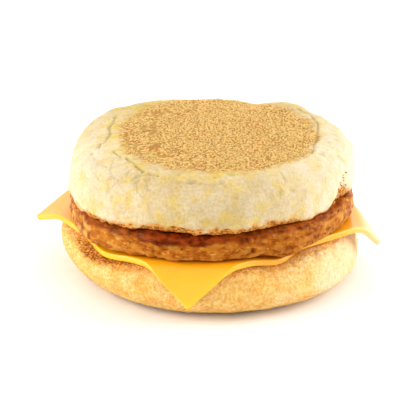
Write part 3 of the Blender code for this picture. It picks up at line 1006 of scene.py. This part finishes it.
def crumb_material():
    """Crumbs of toasted dough: dry and brown, in three tones spread by noise."""
    material, tree, shader = new_material("toasted_crumb", Roughness=0.85, IOR=1.45)
    here = add(tree, "ShaderNodeTexCoord").outputs["Object"]
    stops = list(zip((0.35, 0.5, 0.7), map(linear, CRUMB_TONES)))
    tone = add(tree, "ShaderNodeValToRGB", {0: noisy(tree, here, 1.2)}, stops)
    tree.links.new(tone.outputs[0], shader.inputs["Base Color"])
    return material


def pepper_material():
    """Cracked black pepper: almost black hull with a dull shine."""
    material, tree, shader = new_material("cracked_pepper", Roughness=0.7, Specular_IOR_Level=0.2)
    here = add(tree, "ShaderNodeTexCoord").outputs["Object"]
    body = mixed(tree, noisy(tree, here, 1.0), *map(linear, PEPPER_TONES))
    tree.links.new(body, shader.inputs["Base Color"])
    return material


class MUFFIN_OT_cornmeal(bpy.types.Operator):
    """Dusts both muffin halves with grains of cornmeal"""

    bl_idname = "muffin.cornmeal"
    bl_label = "Cornmeal"

    def execute(self, context):
        bread = context.scene.muffin_bread
        crown, heel = bpy.data.objects["crown_crust"], bpy.data.objects["heel_crust"]
        griddled = crown.data.attributes["griddled"].data
        toasted = heel.data.attributes["toasted"].data

        def on_disc(vertex):
            toward_left = smooth(4 * MM, -20 * MM, vertex.co.x)
            bare = smooth(-0.2, 0.15, lumps(vertex.co, 8 * MM, 43)) * (0.4 + 0.6 * toward_left)
            return griddled[vertex.index].value ** 3 * (1 - 0.9 * bare) ** 2 * (vertex.normal.z > 0.3)

        def on_heel(vertex):
            bare = max(toasted[vertex.index].value, smooth(290, 325, direction_of(vertex.co) % 360))
            patch = 0.25 + smooth(-0.3, 0.4, lumps(vertex.co, 5 * MM, 42))
            return (abs(vertex.normal.z) < 0.97) * patch * (1 - bare) * 0.5

        rng = np.random.default_rng(3)
        spots = spread(crown, on_disc, 1.1 * bread.grain, seed=1)
        sizes = bread.grain * rng.uniform(0.7, 1.4, len(spots))
        grains = nuggets("griddled_cornmeal", spots, sizes, squash=0.7, seed=4)
        grains.data.materials.append(grain_material("griddled_cornmeal", bread.meal, linear(SECOND_MEAL)))

        spots = spread(heel, on_heel, 1.2 * bread.grain, seed=2)
        sizes = bread.grain * rng.uniform(0.4, 0.95, len(spots))
        grains = nuggets("cornmeal", spots, sizes, squash=0.55, seed=6)
        grains.data.materials.append(grain_material("cornmeal", *map(linear, HEEL_MEAL)))
        return {"FINISHED"}


class MUFFIN_OT_crumbs(bpy.types.Operator):
    """Scatters toasted crumbs on the torn edges and pepper on the patty"""

    bl_idname = "muffin.crumbs"
    bl_label = "Crumbs and pepper"

    def execute(self, context):
        crown, patty = bpy.data.objects["crown_crust"], bpy.data.objects["patty_meat"]

        def on_edge(vertex):
            direction = direction_of(vertex.co)
            torn = near(direction, 336, 4) + 0.4 * near(direction, 355, 3)
            return torn * (distance_out(vertex.co) > 42 * MM) * (vertex.normal.z < -0.1)

        def on_side(vertex):
            return float(abs(vertex.normal.z) < 0.6)

        crumb_count = context.scene.muffin_bread.crumbs
        spots = spread(crown, on_edge, 0.9 * MM, seed=7, most=crumb_count)
        sizes = np.random.default_rng(8).uniform(0.4, 1.1, len(spots)) * MM
        crumbs = nuggets("toasted_crumbs", spots, sizes, squash=0.8, seed=9)
        crumbs.data.materials.append(crumb_material())

        speck_count = context.scene.muffin_filling.pepper
        spots = spread(patty, on_side, 2.0 * MM, seed=10, most=speck_count)
        sizes = np.random.default_rng(11).uniform(0.3, 0.8, len(spots)) * MM
        pepper = nuggets("pepper_specks", spots, sizes, squash=0.5, seed=12)
        pepper.data.materials.append(pepper_material())
        return {"FINISHED"}


def area_light(name, place, target, size, power):
    """A square softbox that faces its target."""
    light = bpy.data.lights.new(name, "AREA")
    light.shape = "SQUARE"
    light.size = size
    light.energy = power
    lamp = bpy.data.objects.new(name, light)
    lamp.location = place
    lamp.rotation_euler = (Vector(target) - Vector(place)).to_track_quat("-Z", "Y").to_euler()
    bpy.context.scene.collection.objects.link(lamp)


class MUFFIN_OT_stage(bpy.types.Operator):
    """Sets up the floor, the lights and the camera"""

    bl_idname = "muffin.stage"
    bl_label = "Stage"

    def execute(self, context):
        stage = context.scene.muffin_stage
        scene = context.scene
        bpy.ops.mesh.primitive_plane_add(size=12.0)
        floor = context.object
        floor.name = "floor"
        material, tree, shader = new_material("matt_paper", Roughness=0.9)
        here = add(tree, "ShaderNodeTexCoord").outputs["Object"]
        body = mixed(tree, noisy(tree, here, 4.0), stage.floor, linear(PAPER_TONE))
        tree.links.new(body, shader.inputs["Base Color"])
        floor.data.materials.append(material)

        target = (0.0, 0.0, stage.height)
        area_light("left_softbox", (-0.6, -0.15, 0.28), target, 0.5, stage.sides)
        area_light("right_softbox", (0.62, 0.0, 0.3), target, 0.5, stage.sides)
        area_light("back_softbox", (0.0, 0.6, 0.5), target, 0.7, stage.back)

        world = bpy.data.worlds.new("white_surroundings")
        world.use_nodes = True
        world.node_tree.nodes["Background"].inputs["Color"].default_value = (1.0, 1.0, 1.0, 1.0)
        world.node_tree.nodes["Background"].inputs["Strength"].default_value = stage.sky
        scene.world = world
        scene.view_settings.view_transform = "Standard"

        lens = bpy.data.cameras.new("camera")
        lens.lens = stage.lens
        lens.sensor_width = 36.0
        lens.clip_end = 20.0
        camera = bpy.data.objects.new("camera", lens)
        back = Vector((0.0, -math.cos(stage.elevation), math.sin(stage.elevation)))
        camera.location = Vector(target) + stage.distance * back
        camera.rotation_euler = (math.pi / 2 - stage.elevation, 0.0, 0.0)
        scene.collection.objects.link(camera)
        scene.camera = camera
        return {"FINISHED"}


class MUFFIN_PT_panel(bpy.types.Panel):
    """Lists the pieces and what can be changed"""

    bl_idname = "MUFFIN_PT_panel"
    bl_label = "English muffin sandwich"
    bl_space_type = "VIEW_3D"
    bl_region_type = "UI"
    bl_category = "Muffin"

    def draw(self, context):
        for group in SETTINGS:
            settings = getattr(context.scene, group)
            box = self.layout.box()
            for name in settings.__annotations__:
                box.prop(settings, name)
        for operator in OPERATORS:
            self.layout.operator(operator.bl_idname)


SETTINGS = {"muffin_bread": MuffinSettings, "muffin_filling": FillingSettings, "muffin_stage": StageSettings}
OPERATORS = (
    MUFFIN_OT_heel,
    MUFFIN_OT_cheese,
    MUFFIN_OT_patty,
    MUFFIN_OT_crown,
    MUFFIN_OT_cornmeal,
    MUFFIN_OT_crumbs,
    MUFFIN_OT_stage,
)


def register():
    """Makes the settings, the operators and the panel known."""
    for name, settings in SETTINGS.items():
        bpy.utils.register_class(settings)
        setattr(bpy.types.Scene, name, PointerProperty(type=settings))
    for operator in OPERATORS:
        bpy.utils.register_class(operator)
    bpy.utils.register_class(MUFFIN_PT_panel)


def unregister():
    """Takes away all that register has added."""
    bpy.utils.unregister_class(MUFFIN_PT_panel)
    for operator in reversed(OPERATORS):
        bpy.utils.unregister_class(operator)
    for name, settings in SETTINGS.items():
        delattr(bpy.types.Scene, name)
        bpy.utils.unregister_class(settings)


def main():
    """Builds every piece."""
    register()
    bpy.ops.muffin.heel()
    bpy.ops.muffin.cheese()
    bpy.ops.muffin.patty()
    bpy.ops.muffin.crown()
    bpy.ops.muffin.cornmeal()
    bpy.ops.muffin.crumbs()
    bpy.ops.muffin.stage()


if __name__ == "__main__":
    main()
